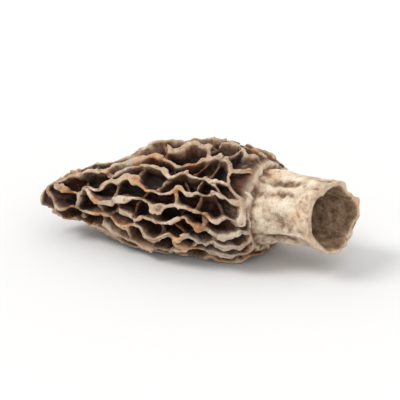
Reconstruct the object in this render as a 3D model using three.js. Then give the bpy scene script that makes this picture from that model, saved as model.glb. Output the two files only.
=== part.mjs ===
// One dried morel: a pitted, hollow cap on a short hollow stem that was cut across at its foot.
// Millimetres, +Z up. It lies along X on the side it dried on, the cap's tip towards -X and the
// stem's open cut end towards +X. The origin is below the middle of the bounding box, on the
// surface that it rests on.
//
// The wall is one closed surface: a lathe profile that runs from the cap's tip over the ribs and
// pits, under the cap's margin, along the stem, round the cut rim and back up the hollow to the
// axis. Every lathe vertex is then pressed in where a pit is, and the whole form is twisted,
// flattened, crumpled and bent as it shrank.
import * as THREE from 'three';
import { mergeVertices } from 'three/addons/utils/BufferGeometryUtils.js';

// ---------------------------------------------------------------- driving dimensions, mm
// outlines as [distance along the axis from the cut end, radius]
const CAP_OUTLINE = [[10.4, 3.4], [9.2, 4.3], [8.5, 5.3], [8.9, 6.35], [11.0, 7.4], [14.6, 8.05], [18.6, 7.95],
  [22.6, 7.3], [26.4, 6.2], [29.8, 4.85], [32.6, 3.45], [34.6, 2.1], [35.7, 0.95], [36.0, 0.0]];
const STEM_OUTLINE = [[0.0, 5.0], [1.4, 4.7], [3.4, 4.42], [5.8, 4.27], [8.2, 4.35], [10.6, 4.6]];
const HOLLOW_OUTLINE = [[-1.6, 4.15], [0.0, 4.0], [2.0, 3.76], [6.0, 3.52], [9.0, 3.62], [12.5, 4.3], [16.5, 4.75],
  [21.0, 4.25], [25.2, 3.05], [28.4, 1.9], [30.3, 0.95], [31.0, 0.0]];

const RIB_COLUMNS = 20;          // columns of pits round the cap's widest place
const PIT_STRETCH = 1.55;        // how much longer than wide the pits are
const PIT_DEPTH = 2.0;           // below the ribs' tops, in the middle of the cap
const PIT_DEPTH_TIP = 0.95;      // and at the tip
const RIB_HALF = 0.26;           // half the width of a rib's top
const RIB_SLOPE = 0.75;          // from a rib's top to the floor of the pit beside it
const DEPTH_GAIN = 1.15;         // makes up for the pits' rounded floors
const PATTERN_SEED = 7;

const TWIST = 0.42;              // radians, from the cap's foot to near its tip
const CAP_FLATTEN = 0.87;        // height over width of the cap's section
const STEM_FLATTEN = 0.955;
const WALL_MIN = 0.55;           // the thinnest that the stem's wall gets
const PRESSED_SIDE = 5.3;       // distance from the axis to the side it dried on, in the middle of the cap
const PRESSED_SHARE = 0.97;       // how much of what stood out there was pressed in
const PRESSED_ROUND = 0.30;       // how softly the pressed side begins
const PRESSED_SLOPE = 0.05;      // and how it closes in on the axis towards the tip
const BEND_START = 12.0;
const BEND_RADIUS = 62.0;
const STEM_BEND_FROM = 9.5;      // the stem bends the same way as the cap
const STEM_BEND_RADIUS = 42.0;
const SQUEEZED_END = [0.6, 0.10, 0.11];          // the stem's end: radians round the axis, wider by, narrower by
// where the cap sank in along its length: radians round the axis, share of the radius, half-width in
// radians, from, to, radians of lean for each mm
const SUNKEN = [[1.25, 0.235, 0.46, 9.5, 31.0, 0.030], [3.55, 0.15, 0.40, 12.0, 34.0, -0.030], [5.15, 0.13, 0.36, 8.0, 26.0, 0.020]];
const MARGIN_WAVE = 1.15;        // how far the cap's margin wanders along the axis
const MARGIN_SLANT = [0.75, 0.9]; // and how far it leans over, towards which side
const STEM_FURROWS = [0.105, 0.07];              // share of the radius: broad folds, sharp creases

const RESTING_UP = [-0.0532, -0.0101, 0.9985];    // the direction that ends up on top when its weight has settled

const SEGMENTS = 80;             // round the axis
const CAP_ROWS = 39;             // from the tip to the margin

// ---------------------------------------------------------------- small maths
const clamp = (v, lo, hi) => Math.min(Math.max(v, lo), hi);
const smooth = (a, b, v) => { const k = clamp((v - a) / (b - a), 0, 1); return k * k * (3 - 2 * k); };

function hash3(i, j, k, seed) {
  let h = (Math.imul(i, 374761393) + Math.imul(j, 668265263) + Math.imul(k, 2246822519) + Math.imul(seed, 3266489917)) >>> 0;
  h = Math.imul(h ^ (h >>> 15), 2246822519) >>> 0;
  h = Math.imul(h ^ (h >>> 13), 3266489917) >>> 0;
  h = (h ^ (h >>> 16)) >>> 0;
  return h / 2147483648 - 1;
}

// smooth value noise from -1 to 1
function noise(x, y, z, wavelength, seed) {
  const at = (v) => {
    const q = v / wavelength + 100, i = Math.floor(q), t = q - i;
    return [i & 31, (i + 1) & 31, t * t * t * (t * (t * 6 - 15) + 10)];
  };
  const [x0, x1, fx] = at(x), [y0, y1, fy] = at(y), [z0, z1, fz] = at(z);
  const g = (a, b, c) => hash3(a, b, c, seed);
  const mix = (a, b, f) => a * (1 - f) + b * f;
  const low = mix(mix(g(x0, y0, z0), g(x1, y0, z0), fx), mix(g(x0, y1, z0), g(x1, y1, z0), fx), fy);
  const high = mix(mix(g(x0, y0, z1), g(x1, y0, z1), fx), mix(g(x0, y1, z1), g(x1, y1, z1), fx), fy);
  return mix(low, high, fz);
}

function randomNumbers(seed) {
  let s = seed >>> 0;
  return () => {
    s = (s + 0x6D2B79F5) >>> 0;
    let t = s;
    t = Math.imul(t ^ (t >>> 15), t | 1);
    t ^= t + Math.imul(t ^ (t >>> 7), t | 61);
    return ((t ^ (t >>> 14)) >>> 0) / 4294967296;
  };
}

// an outline as a smooth curve, with the distance run along it
function outline(points, per = 24) {
  const curve = new THREE.SplineCurve(points.map(([u, r]) => new THREE.Vector2(u, r)));
  const P = curve.getPoints((points.length - 1) * per);
  const T = [0];
  for (let i = 1; i < P.length; i++) T.push(T[i - 1] + P[i].distanceTo(P[i - 1]));
  return { P, T, length: T[T.length - 1] };
}

function alongOutline(o, t) {
  const { P, T } = o;
  if (t <= 0) return [P[0].x, Math.max(P[0].y, 0)];
  if (t >= o.length) return [P[P.length - 1].x, Math.max(P[P.length - 1].y, 0)];
  let lo = 0, hi = T.length - 1;
  while (hi - lo > 1) { const m = (lo + hi) >> 1; if (T[m] <= t) lo = m; else hi = m; }
  const f = (t - T[lo]) / Math.max(T[hi] - T[lo], 1e-12);
  return [P[lo].x + (P[hi].x - P[lo].x) * f, Math.max(P[lo].y + (P[hi].y - P[lo].y) * f, 0)];
}

function radiusAt(o, u) {
  const P = o.P;
  for (let i = 1; i < P.length; i++) {
    if (P[i].x >= u) {
      const f = clamp((u - P[i - 1].x) / Math.max(P[i].x - P[i - 1].x, 1e-9), 0, 1);
      return P[i - 1].y + (P[i].y - P[i - 1].y) * f;
    }
  }
  return P[P.length - 1].y;
}

const cap = outline(CAP_OUTLINE), stem = outline(STEM_OUTLINE), hollow = outline(HOLLOW_OUTLINE);
let marginIndex = 0;
cap.P.forEach((p, i) => { if (p.x < cap.P[marginIndex].x) marginIndex = i; });
const MARGIN_T = cap.T[marginIndex];

// ---------------------------------------------------------------- the network of ribs
// each pit grows from a point on the cap; the ribs stand where two pits meet
function pitPoints() {
  const rnd = randomNumbers(PATTERN_SEED), out = [];
  for (let c = 0; c < RIB_COLUMNS; c++) {
    const th = 2 * Math.PI * (c + 0.25 * (rnd() - 0.5)) / RIB_COLUMNS;
    const stop = c % 2 ? 5.2 : (c % 4 === 2 ? 3.1 : (c % 8 === 4 ? 1.6 : 0.6));
    let t = MARGIN_T + 0.2 + 2.6 * rnd();
    while (t < cap.length - 0.3) {
      const [u, rad] = alongOutline(cap, t);
      if (t > MARGIN_T + 6 && rad < stop) break;
      const spacing = 2 * Math.PI / RIB_COLUMNS * (rad > 5.2 ? 1 : (rad > 3.1 ? 2 : (rad > 1.6 ? 4 : 8)));
      const a = th + (rnd() - 0.5) * 0.62 * spacing;
      out.push({ x: rad * Math.cos(a), y: rad * Math.sin(a), z: u / PIT_STRETCH, u });
      t += 1.9 + 2.9 * rnd();
    }
  }
  return out;
}
const pits = pitPoints();

function pairNumber(i, j) {
  const a = Math.min(i, j), b = Math.max(i, j);
  let h = (Math.imul(a, 73856093) ^ Math.imul(b, 19349663)) >>> 0;
  h = Math.imul(h ^ (h >>> 15), 2246822519) >>> 0;
  h = Math.imul(h ^ (h >>> 13), 3266489917) >>> 0;
  return ((h ^ (h >>> 16)) >>> 0) / 4294967296;
}

// distance to the nearest lengthwise rib and cross rib, with their heights, at an angle and a distance along the outline
function network(th, t) {
  let [u, rad] = alongOutline(cap, t);
  let x = rad * Math.cos(th), y = rad * Math.sin(th);
  const wx = 0.80 * noise(u, x, y, 8.0, 10) + 0.80 * noise(u, x, y, 4.4, 11) + 0.80 * noise(u, x * 0.45, y * 0.45, 1.9, 12);
  const wt = 0.75 * noise(u, x, y, 4.2, 13) + 0.32 * noise(u, x, y, 1.7, 14);
  const th2 = th + wx / Math.max(rad, 1.6);
  const t2 = clamp(t + wt, 0, cap.length);
  [u, rad] = alongOutline(cap, t2);
  x = rad * Math.cos(th2); y = rad * Math.sin(th2);
  const z = u / PIT_STRETCH;
  const [ua, ra] = alongOutline(cap, t2 - 0.05), [ub, rb] = alongOutline(cap, t2 + 0.05);
  const dl = Math.max(Math.hypot(ub - ua, rb - ra), 1e-6), du = (ub - ua) / dl, dr = (rb - ra) / dl;
  const near = pits.map((p, i) => [(x - p.x) ** 2 + (y - p.y) ** 2 + (z - p.z) ** 2, i]).sort((p, q) => p[0] - q[0]).slice(0, 9);
  const [d0, i0] = near[0], a = pits[i0];
  let rib = 9, ribHeight = 1, cross = 9, crossHeight = 1;
  for (let m = 1; m < near.length; m++) {
    const [dm, j] = near[m], b = pits[j];
    let nx = b.x - a.x, ny = b.y - a.y, nz = b.z - a.z;
    const L = Math.hypot(nx, ny, nz) + 1e-9;
    nx /= L; ny /= L; nz /= L;
    const ct = Math.cos(th2), st = Math.sin(th2);
    const gt = nx * ct * dr + ny * st * dr + nz / PIT_STRETCH * du, gc = -nx * st + ny * ct;
    const d = (dm - d0) / (2 * L) / Math.max(Math.hypot(gt, gc), 0.25);
    const h = pairNumber(i0, j);
    if (Math.abs(b.u - a.u) / PIT_STRETCH / L > 0.72) {
      if (d < cross) { cross = d; crossHeight = 0.38 + 0.54 * h; }
    } else if (d < rib) { rib = d; ribHeight = 0.88 + 0.14 * h; }
  }
  return { rib, ribHeight, cross, crossHeight };
}

// how far a place on the cap is pressed in below the ribs' tops
function pressedIn(th, t) {
  const start = smooth(MARGIN_T + 0.1, MARGIN_T + 1.7, t);
  const depth = start * (PIT_DEPTH_TIP + (PIT_DEPTH - PIT_DEPTH_TIP) * clamp((cap.length - t) / 7, 0, 1));
  if (depth === 0) return 0;
  const side = (d) => 1 - smooth(RIB_HALF, RIB_HALF + RIB_SLOPE, d);
  const da = 2 * Math.PI / SEGMENTS / 3, dt = (cap.length - MARGIN_T) / CAP_ROWS / 3;
  let sum = 0;
  for (const i of [-1, 0, 1]) {
    for (const j of [-1, 0, 1]) {      // the mean over the patch that one vertex stands for
      const n = network(th + i * da, clamp(t + j * dt, 0, cap.length));
      sum += clamp(Math.max(n.ribHeight * side(n.rib), n.crossHeight * side(n.cross)), 0, 1) / 9;
    }
  }
  return depth * (1 - sum) * DEPTH_GAIN;
}

// ---------------------------------------------------------------- how the straight form dried
function dried(x, y, z) {
  const w = smooth(6, 13, x);
  let th = Math.atan2(z, y), ca = Math.cos(th), sa = Math.sin(th);
  // the margin wanders, and the stem is furrowed
  const wander = MARGIN_WAVE * noise(ca * 3.1 + 4, sa * 3.1, x * 0.1, 1.9, 73) + MARGIN_SLANT[0] * Math.cos(Math.atan2(z, y) - MARGIN_SLANT[1]);
  x += wander * Math.exp(-(((x - 9.3) / 3.0) ** 2)) * smooth(4.7, 5.8, Math.hypot(y, z));
  const f = 1 + smooth(11.5, 7.5, x) * (STEM_FURROWS[0] * noise(x * 0.16 + 3, ca * 3.2, sa * 3.2, 2.0, 71)
    - STEM_FURROWS[1] * (1 - 2.2 * Math.abs(noise(x * 0.14 + 9, ca * 3.0, sa * 3.0, 2.3, 72))));
  y *= f; z *= f;
  const a = TWIST * clamp((x - 8) / 26, 0, 1);
  [y, z] = [y * Math.cos(a) - z * Math.sin(a), y * Math.sin(a) + z * Math.cos(a)];
  let s = 1 + w * (0.12 * noise(x, y, z, 9.5, 61) + 0.075 * noise(x, y, z, 5.2, 62));
  th = Math.atan2(z, y);
  for (const [at, deep, wide, from, to, lean] of SUNKEN) {
    const round = th - at - lean * (x - 20) + Math.PI, d = round - 2 * Math.PI * Math.floor(round / (2 * Math.PI)) - Math.PI;
    s -= deep * Math.exp(-((d / wide) ** 2)) * smooth(from, from + 7, x) * smooth(to, to - 9, x);
  }
  y *= s * (1 + 0.05 * (1 - w) + 0.03 * w);
  z *= s * (STEM_FLATTEN + (CAP_FLATTEN - STEM_FLATTEN) * w);
  const e = smooth(7.0, 0.5, x), [at, wider, narrower] = SQUEEZED_END;
  ca = Math.cos(at); sa = Math.sin(at);
  const p = (y * ca + z * sa) * (1 + wider * e), q = (-y * sa + z * ca) * (1 - narrower * e);
  [y, z] = [p * ca - q * sa, p * sa + q * ca];
  const c = 0.35 + 0.65 * w;
  const dx = 0.34 * noise(x, y, z, 3.4, 63) + 0.12 * noise(x, y, z, 1.6, 66);
  const dy = 0.38 * noise(x, y, z, 3.4, 64) + 0.14 * noise(x, y, z, 1.6, 67);
  const dz = 0.38 * noise(x, y, z, 3.4, 65) + 0.14 * noise(x, y, z, 1.6, 68);
  x += c * dx; y += c * dy; z += c * dz;
  const under = (PRESSED_SLOPE * (x - 17) - PRESSED_SIDE - z) / PRESSED_ROUND;
  z += PRESSED_SHARE * PRESSED_ROUND * (under > 20 ? under : Math.log1p(Math.exp(under)));
  if (x > BEND_START) {
    const ang = (x - BEND_START) / BEND_RADIUS, r = BEND_RADIUS - y;
    x = BEND_START + r * Math.sin(ang);
    y = BEND_RADIUS - r * Math.cos(ang);
  } else if (x < STEM_BEND_FROM) {
    const ang = (STEM_BEND_FROM - x) / STEM_BEND_RADIUS, r = STEM_BEND_RADIUS - y;
    x = STEM_BEND_FROM - r * Math.sin(ang);
    y = STEM_BEND_RADIUS - r * Math.cos(ang);
  }
  return [x, y, z];
}

// ---------------------------------------------------------------- the profile, tip to margin to stem to hollow
const rows = [];
for (let k = 0; k <= CAP_ROWS; k++) {
  const f = k / CAP_ROWS, t = cap.length + (MARGIN_T - cap.length) * (f < 0.08 ? f * 0.9 : 0.072 + (f - 0.08) * 0.928 / 0.92);
  const [u, r] = alongOutline(cap, t);
  rows.push({ kind: 'cap', t, u, r: k === 0 ? 0 : r });
}
for (const [u, r] of [[9.0, 4.95], [9.3, 4.6]]) rows.push({ kind: 'under', u, r });
for (const u of [7.9, 6.5, 5.1, 3.7, 2.4, 1.2, 0.15]) rows.push({ kind: 'stem', u, r: radiusAt(stem, u) });
for (const u of [0.0, 1.8, 4.2, 6.6, 9.0, 11.4, 14.0, 17.0, 20.2, 23.4, 26.4, 29.0, 30.5]) rows.push({ kind: 'hollow', u, r: radiusAt(hollow, u) });
rows.push({ kind: 'hollow', u: 31.0, r: 0 });

const lathe = new THREE.LatheGeometry(rows.map((p) => new THREE.Vector2(p.r, p.u)), SEGMENTS);
const position = lathe.getAttribute('position');
for (let i = 0; i <= SEGMENTS; i++) {
  const th = 2 * Math.PI * (i % SEGMENTS) / SEGMENTS, ca = Math.cos(th), sa = Math.sin(th);
  rows.forEach((row, j) => {
    let { u, r } = row;
    if (row.kind === 'cap') {
      const d = row.r > 0 ? pressedIn(th, row.t) : 0.35;
      const [ua, ra] = alongOutline(cap, row.t - 0.1), [ub, rb] = alongOutline(cap, row.t + 0.1);
      const l = Math.max(Math.hypot(ub - ua, rb - ra), 1e-6);
      const nu = row.r > 0 ? -(rb - ra) / l : 1, nr = (ub - ua) / l;     // outward normal of the outline
      u -= d * nu;
      if (row.r > 0) r = Math.max(r - d * nr, 0.12);
    } else if (row.kind === 'stem') {
      const fade = smooth(9.0, 7.5, row.u);
      r += fade * (0.26 * noise(u * 0.22 + 3, ca * 3.4, sa * 3.4, 1.5, 21) + 0.26 * (1 - 2 * Math.abs(noise(u * 0.18, ca * 3.4 - 7, sa * 3.4, 1.9, 23))));
      r = Math.max(r, radiusAt(hollow, u) + WALL_MIN);
      if (row.u < 0.5) u += 0.25 + 0.40 * noise(ca * 3, sa * 3, 0, 2.3, 26);
    } else if (row.kind === 'hollow' && row.u === 0) {
      u += 0.30 + 0.40 * noise(ca * 3, sa * 3, 0, 2.3, 26);
    }
    const [x, y, z] = dried(u, r * ca, r * sa);
    position.setXYZ(i * rows.length + j, x, y, z);
  });
}

// ---------------------------------------------------------------- one closed body
lathe.deleteAttribute('normal');
lathe.deleteAttribute('uv');
const merged = mergeVertices(lathe, 1e-4);
const tri = merged.getIndex().array, kept = [];
for (let i = 0; i < tri.length; i += 3) {
  const [a, b, c] = [tri[i], tri[i + 1], tri[i + 2]];
  if (a !== b && b !== c && c !== a) kept.push(a, b, c);
}
let volume = 0;
const P = merged.getAttribute('position'), va = new THREE.Vector3(), vb = new THREE.Vector3(), vc = new THREE.Vector3();
for (let i = 0; i < kept.length; i += 3) {
  va.fromBufferAttribute(P, kept[i]); vb.fromBufferAttribute(P, kept[i + 1]); vc.fromBufferAttribute(P, kept[i + 2]);
  volume += va.dot(vb.clone().cross(vc)) / 6;
}
if (volume < 0) for (let i = 0; i < kept.length; i += 3) [kept[i + 1], kept[i + 2]] = [kept[i + 2], kept[i + 1]];
merged.setIndex(kept);

// ---------------------------------------------------------------- laid down as it rests
const settle = new THREE.Quaternion().setFromUnitVectors(new THREE.Vector3(...RESTING_UP).normalize(), new THREE.Vector3(0, 0, 1));
const turn = new THREE.Quaternion().setFromAxisAngle(new THREE.Vector3(0, 0, 1), Math.PI);
merged.applyQuaternion(turn.multiply(settle));
merged.computeBoundingBox();
const box = merged.boundingBox;
merged.translate(-(box.min.x + box.max.x) / 2, -(box.min.y + box.max.y) / 2, -box.min.z);
merged.computeVertexNormals();

const flesh = new THREE.MeshStandardMaterial({ name: 'dried_flesh', color: new THREE.Color(0x8a6a50), roughness: 0.85, metalness: 0 });
const morel = new THREE.Mesh(merged, flesh);
morel.name = 'dried_morel';

const group = new THREE.Group();
group.name = 'dried_morel_mushroom';
group.add(morel);

export default group;
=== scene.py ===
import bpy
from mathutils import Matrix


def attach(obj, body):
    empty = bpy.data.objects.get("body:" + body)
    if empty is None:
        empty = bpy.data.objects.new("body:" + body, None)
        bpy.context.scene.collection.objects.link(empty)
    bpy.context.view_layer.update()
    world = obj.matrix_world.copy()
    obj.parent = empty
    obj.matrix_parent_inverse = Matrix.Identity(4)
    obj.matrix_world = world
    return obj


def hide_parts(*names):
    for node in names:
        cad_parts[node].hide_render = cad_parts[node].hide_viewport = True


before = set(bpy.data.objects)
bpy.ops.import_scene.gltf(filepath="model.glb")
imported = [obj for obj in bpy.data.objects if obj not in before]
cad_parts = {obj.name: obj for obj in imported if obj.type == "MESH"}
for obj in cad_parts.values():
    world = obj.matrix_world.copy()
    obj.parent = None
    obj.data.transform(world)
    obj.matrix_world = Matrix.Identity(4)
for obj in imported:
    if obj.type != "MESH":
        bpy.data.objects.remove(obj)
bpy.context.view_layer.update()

import math
import bpy
import numpy as np
from mathutils import Vector

# ======================================================================================================
# The straight form, in mm: u along the axis from the stem's cut end to the cap's tip, r out from it
# ======================================================================================================
CAP_OUTLINE = [(10.4, 3.4), (9.2, 4.3), (8.5, 5.3), (8.9, 6.35), (11.0, 7.4), (14.6, 8.05), (18.6, 7.95),
               (22.6, 7.3), (26.4, 6.2), (29.8, 4.85), (32.6, 3.45), (34.6, 2.1), (35.7, 0.95), (36.0, 0.0)]
STEM_OUTLINE = [(0.0, 5.0), (1.4, 4.7), (3.4, 4.42), (5.8, 4.27), (8.2, 4.35), (10.6, 4.6)]
HOLLOW_OUTLINE = [(-1.6, 4.15), (0.0, 4.0), (2.0, 3.76), (6.0, 3.52), (9.0, 3.62), (12.5, 4.3), (16.5, 4.75),
                  (21.0, 4.25), (25.2, 3.05), (28.4, 1.9), (30.3, 0.95), (31.0, 0.0)]
RIB_COLUMNS = 20
PIT_STRETCH = 1.55
PATTERN_SEED = 7
TWIST = 0.42
CAP_FLATTEN, STEM_FLATTEN = 0.87, 0.955
PRESSED_SIDE, PRESSED_SHARE, PRESSED_SLOPE, PRESSED_ROUND = 5.3, 0.97, 0.05, 0.30
BEND_START, BEND_RADIUS = 12.0, 62.0
STEM_BEND_FROM, STEM_BEND_RADIUS = 9.5, 42.0
SQUEEZED_END = (0.6, 0.10, 0.11)
SUNKEN = [(1.25, 0.235, 0.46, 9.5, 31.0, 0.030), (3.55, 0.15, 0.40, 12.0, 34.0, -0.030), (5.15, 0.13, 0.36, 8.0, 26.0, 0.020)]
MARGIN_WAVE, MARGIN_SLANT = 1.15, (0.75, 0.9)
STEM_FURROWS = (0.105, 0.07)
RESTING_UP = (-0.0532, -0.0101, 0.9985)
GRID = 0.15
MAX_TRIANGLES = 196000

_tables = {}


def noise(x, y, z, wavelength, seed):
    """smooth value noise from -1 to 1 on a lattice of hashed numbers"""
    T = _tables.get(seed)
    if T is None:
        a = np.arange(32, dtype=np.uint32)
        i, j, k = np.meshgrid(a, a, a, indexing="ij")
        with np.errstate(over="ignore"):
            h = i * np.uint32(374761393) + j * np.uint32(668265263) + k * np.uint32(2246822519) + np.uint32(seed) * np.uint32(3266489917)
            h = (h ^ (h >> np.uint32(15))) * np.uint32(2246822519)
            h = (h ^ (h >> np.uint32(13))) * np.uint32(3266489917)
            h = h ^ (h >> np.uint32(16))
        T = _tables[seed] = (h.astype(np.float64) / 2147483648.0 - 1.0).astype(np.float32).ravel()
    f = np.float32(1.0 / wavelength)

    def at(v):
        v = np.asarray(v, np.float32) * f + np.float32(100.0)
        i = np.floor(v)
        t = v - i
        i = i.astype(np.int32)
        return i & 31, (i + 1) & 31, t * t * t * (t * (t * 6 - 15) + 10)

    x0, x1, fx = at(x)
    y0, y1, fy = at(y)
    z0, z1, fz = at(z)

    def g(a, b, c):
        return T[(a * 32 + b) * 32 + c]

    c00 = g(x0, y0, z0) * (1 - fx) + g(x1, y0, z0) * fx
    c10 = g(x0, y1, z0) * (1 - fx) + g(x1, y1, z0) * fx
    c01 = g(x0, y0, z1) * (1 - fx) + g(x1, y0, z1) * fx
    c11 = g(x0, y1, z1) * (1 - fx) + g(x1, y1, z1) * fx
    return (c00 * (1 - fy) + c10 * fy) * (1 - fz) + (c01 * (1 - fy) + c11 * fy) * fz


def random_numbers(seed):
    s = seed & 0xFFFFFFFF

    def step():
        nonlocal s
        s = (s + 0x6D2B79F5) & 0xFFFFFFFF
        t = s
        t = ((t ^ (t >> 15)) * (t | 1)) & 0xFFFFFFFF
        t ^= (t + (((t ^ (t >> 7)) * (t | 61)) & 0xFFFFFFFF)) & 0xFFFFFFFF
        return ((t ^ (t >> 14)) & 0xFFFFFFFF) / 4294967296.0
    return step


def spline(points, per=24):
    P = np.array(points, float)
    n = len(P)
    out = []
    count = (n - 1) * per
    for k in range(count + 1):
        p = (n - 1) * k / count
        i = int(math.floor(p))
        w = p - i
        if i >= n - 1:
            i, w = n - 2, 1.0
        p0, p1, p2, p3 = P[i if i == 0 else i - 1], P[i], P[min(i + 1, n - 1)], P[min(i + 2, n - 1)]
        v0, v1 = (p2 - p0) * 0.5, (p3 - p1) * 0.5
        out.append((2 * p1 - 2 * p2 + v0 + v1) * w ** 3 + (-3 * p1 + 3 * p2 - 2 * v0 - v1) * w * w + v0 * w + p1)
    return np.array(out)


CAP, STEM, HOLLOW = spline(CAP_OUTLINE), spline(STEM_OUTLINE), spline(HOLLOW_OUTLINE)
CAP_T = np.concatenate([[0], np.cumsum(np.hypot(*(CAP[1:] - CAP[:-1]).T))])
CAP_LEN = float(CAP_T[-1])
MARGIN_T = float(CAP_T[np.argmin(CAP[:, 0])])


def cap_at(t):
    return np.interp(t, CAP_T, CAP[:, 0]), np.maximum(np.interp(t, CAP_T, CAP[:, 1]), 0)


def smooth(a, b, x):
    k = np.clip((x - a) / (b - a), 0, 1)
    return k * k * (3 - 2 * k)


def smin(a, b, k):
    h = np.clip(0.5 + 0.5 * (b - a) / k, 0, 1)
    return b * (1 - h) + a * h - k * h * (1 - h)


def smax(a, b, k):
    return -smin(-a, -b, k)


def pit_points():
    r = random_numbers(PATTERN_SEED)
    out = []
    for c in range(RIB_COLUMNS):
        th = 2 * math.pi * (c + 0.25 * (r() - 0.5)) / RIB_COLUMNS
        stop = 5.2 if c % 2 else (3.1 if c % 4 == 2 else (1.6 if c % 8 == 4 else 0.6))
        t = MARGIN_T + 0.2 + 2.6 * r()
        while t < CAP_LEN - 0.3:
            u, rad = cap_at(t)
            if t > MARGIN_T + 6 and rad < stop:
                break
            spacing = 2 * math.pi / RIB_COLUMNS * (1 if rad > 5.2 else (2 if rad > 3.1 else (4 if rad > 1.6 else 8)))
            a = th + (r() - 0.5) * 0.62 * spacing
            out.append((rad * math.cos(a), rad * math.sin(a), float(u) / PIT_STRETCH, float(u)))
            t += 1.9 + 2.9 * r()
    return np.array(out)


PITS = pit_points()


def pair_number(i, j):
    a, b = np.minimum(i, j).astype(np.uint32), np.maximum(i, j).astype(np.uint32)
    with np.errstate(over="ignore"):
        h = a * np.uint32(73856093) ^ b * np.uint32(19349663)
        h = (h ^ (h >> np.uint32(15))) * np.uint32(2246822519)
        h = (h ^ (h >> np.uint32(13))) * np.uint32(3266489917)
        h = h ^ (h >> np.uint32(16))
    return (h.astype(np.float64) / 4294967296.0).astype(np.float32)


def network(th, t):
    """the ribs stand where two pits meet: distance to the nearest lengthwise rib and cross rib, and their heights"""
    u, rad = cap_at(t)
    x, y = rad * np.cos(th), rad * np.sin(th)
    wx = 0.80 * noise(u, x, y, 8.0, 10) + 0.80 * noise(u, x, y, 4.4, 11) + 0.80 * noise(u, x * 0.45, y * 0.45, 1.9, 12)
    wt = 0.75 * noise(u, x, y, 4.2, 13) + 0.32 * noise(u, x, y, 1.7, 14)
    th2 = th + wx / np.maximum(rad, 1.6)
    t2 = np.clip(t + wt, 0, CAP_LEN)
    u, rad = cap_at(t2)
    x, y, z = rad * np.cos(th2), rad * np.sin(th2), u / PIT_STRETCH
    ua, ra = cap_at(np.clip(t2 - 0.05, 0, CAP_LEN))
    ub, rb = cap_at(np.clip(t2 + 0.05, 0, CAP_LEN))
    dl = np.maximum(np.hypot(ub - ua, rb - ra), 1e-6)
    du, dr = (ub - ua) / dl, (rb - ra) / dl
    shape = x.shape
    x, y, z, du, dr, th2 = [np.ravel(v).astype(np.float32) for v in (x, y, z, du, dr, th2)]
    S = PITS[:, :3].astype(np.float32)
    su = PITS[:, 3].astype(np.float32)
    out = [np.full(x.shape, v, np.float32) for v in (9.0, 1.0, 9.0, 1.0)]
    k = 9
    for a in range(0, len(x), 60000):
        sl = slice(a, a + 60000)
        q = np.stack([x[sl], y[sl], z[sl]], 1)
        d2 = (q ** 2).sum(1)[:, None] + (S ** 2).sum(1)[None] - 2 * q @ S.T
        idx = np.argpartition(d2, k, axis=1)[:, :k]
        dd = np.take_along_axis(d2, idx, 1)
        o = np.argsort(dd, 1)
        idx, dd = np.take_along_axis(idx, o, 1), np.take_along_axis(dd, o, 1)
        i0 = idx[:, 0]
        ct, st = np.cos(th2[sl]), np.sin(th2[sl])
        br, bh, cr, ch = [np.full(len(q), v, np.float32) for v in (9.0, 1.0, 9.0, 1.0)]
        for m in range(1, k):
            j = idx[:, m]
            nv = S[j] - S[i0]
            L = np.sqrt((nv ** 2).sum(1)) + 1e-9
            ds = (dd[:, m] - dd[:, 0]) / (2 * L)
            nv = nv / L[:, None]
            gt = nv[:, 0] * ct * dr[sl] + nv[:, 1] * st * dr[sl] + nv[:, 2] / PIT_STRETCH * du[sl]
            gc = -nv[:, 0] * st + nv[:, 1] * ct
            d = ds / np.maximum(np.sqrt(gt * gt + gc * gc), 0.25)
            hh = pair_number(i0, j)
            is_cross = np.abs(su[j] - su[i0]) / PIT_STRETCH / L > 0.72
            better = ~is_cross & (d < br)
            br, bh = np.where(better, d, br), np.where(better, 0.88 + 0.14 * hh, bh)
            better = is_cross & (d < cr)
            cr, ch = np.where(better, d, cr), np.where(better, 0.38 + 0.54 * hh, ch)
        for o_, v in zip(out, (br, bh, cr, ch)):
            o_[sl] = v
    return [v.reshape(shape) for v in out]


def pit_depth(t):
    a = np.clip((t - MARGIN_T + 0.5) / 1.5, 0, 1)
    return a * a * (3 - 2 * a) * (1.15 + 1.25 * np.clip((CAP_LEN - t) / 7.0, 0, 1))


def distance_to(outline, uu, rr):
    """signed distance to an outline that is closed along the axis, with the distance run along it"""
    A, B = outline[:-1], outline[1:]
    T = np.concatenate([[0], np.cumsum(np.hypot(*(B - A).T))])
    best = np.full(uu.shape, 1e9, np.float32)
    bt = np.zeros(uu.shape, np.float32)
    for k in range(len(A)):
        a, ab = A[k], B[k] - A[k]
        l2 = float(ab @ ab)
        if l2 < 1e-12:
            continue
        w = np.clip(((uu - a[0]) * ab[0] + (rr - a[1]) * ab[1]) / l2, 0, 1)
        d = (uu - a[0] - w * ab[0]) ** 2 + (rr - a[1] - w * ab[1]) ** 2
        m = d < best
        best = np.where(m, d, best)
        bt = np.where(m, T[k] + w * math.sqrt(l2), bt)
    Q = np.vstack([[[outline[0][0], -1.0]], outline, [[outline[-1][0], -1.0]]])
    inside = np.zeros(uu.shape, bool)
    j = len(Q) - 1
    for i in range(len(Q)):
        (xi, yi), (xj, yj) = Q[i], Q[j]
        if yi != yj:
            inside ^= ((yi > rr) != (yj > rr)) & (uu < (xj - xi) * (rr - yi) / (yj - yi) + xi)
        j = i
    d = np.sqrt(best)
    return np.where(inside, -d, d).astype(np.float32), bt


def bilinear(M, fi, fj):
    fi, fj = np.clip(fi, 0, M.shape[0] - 1.001), np.clip(fj, 0, M.shape[1] - 1.001)
    i, j = fi.astype(np.int32), fj.astype(np.int32)
    a, b = (fi - i).astype(np.float32), (fj - j).astype(np.float32)
    W, R = M.shape[1], M.ravel()
    k = i * W + j
    return (R[k] * (1 - a) + R[k + W] * a) * (1 - b) + (R[k + 1] * (1 - a) + R[k + W + 1] * a) * b


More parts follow.
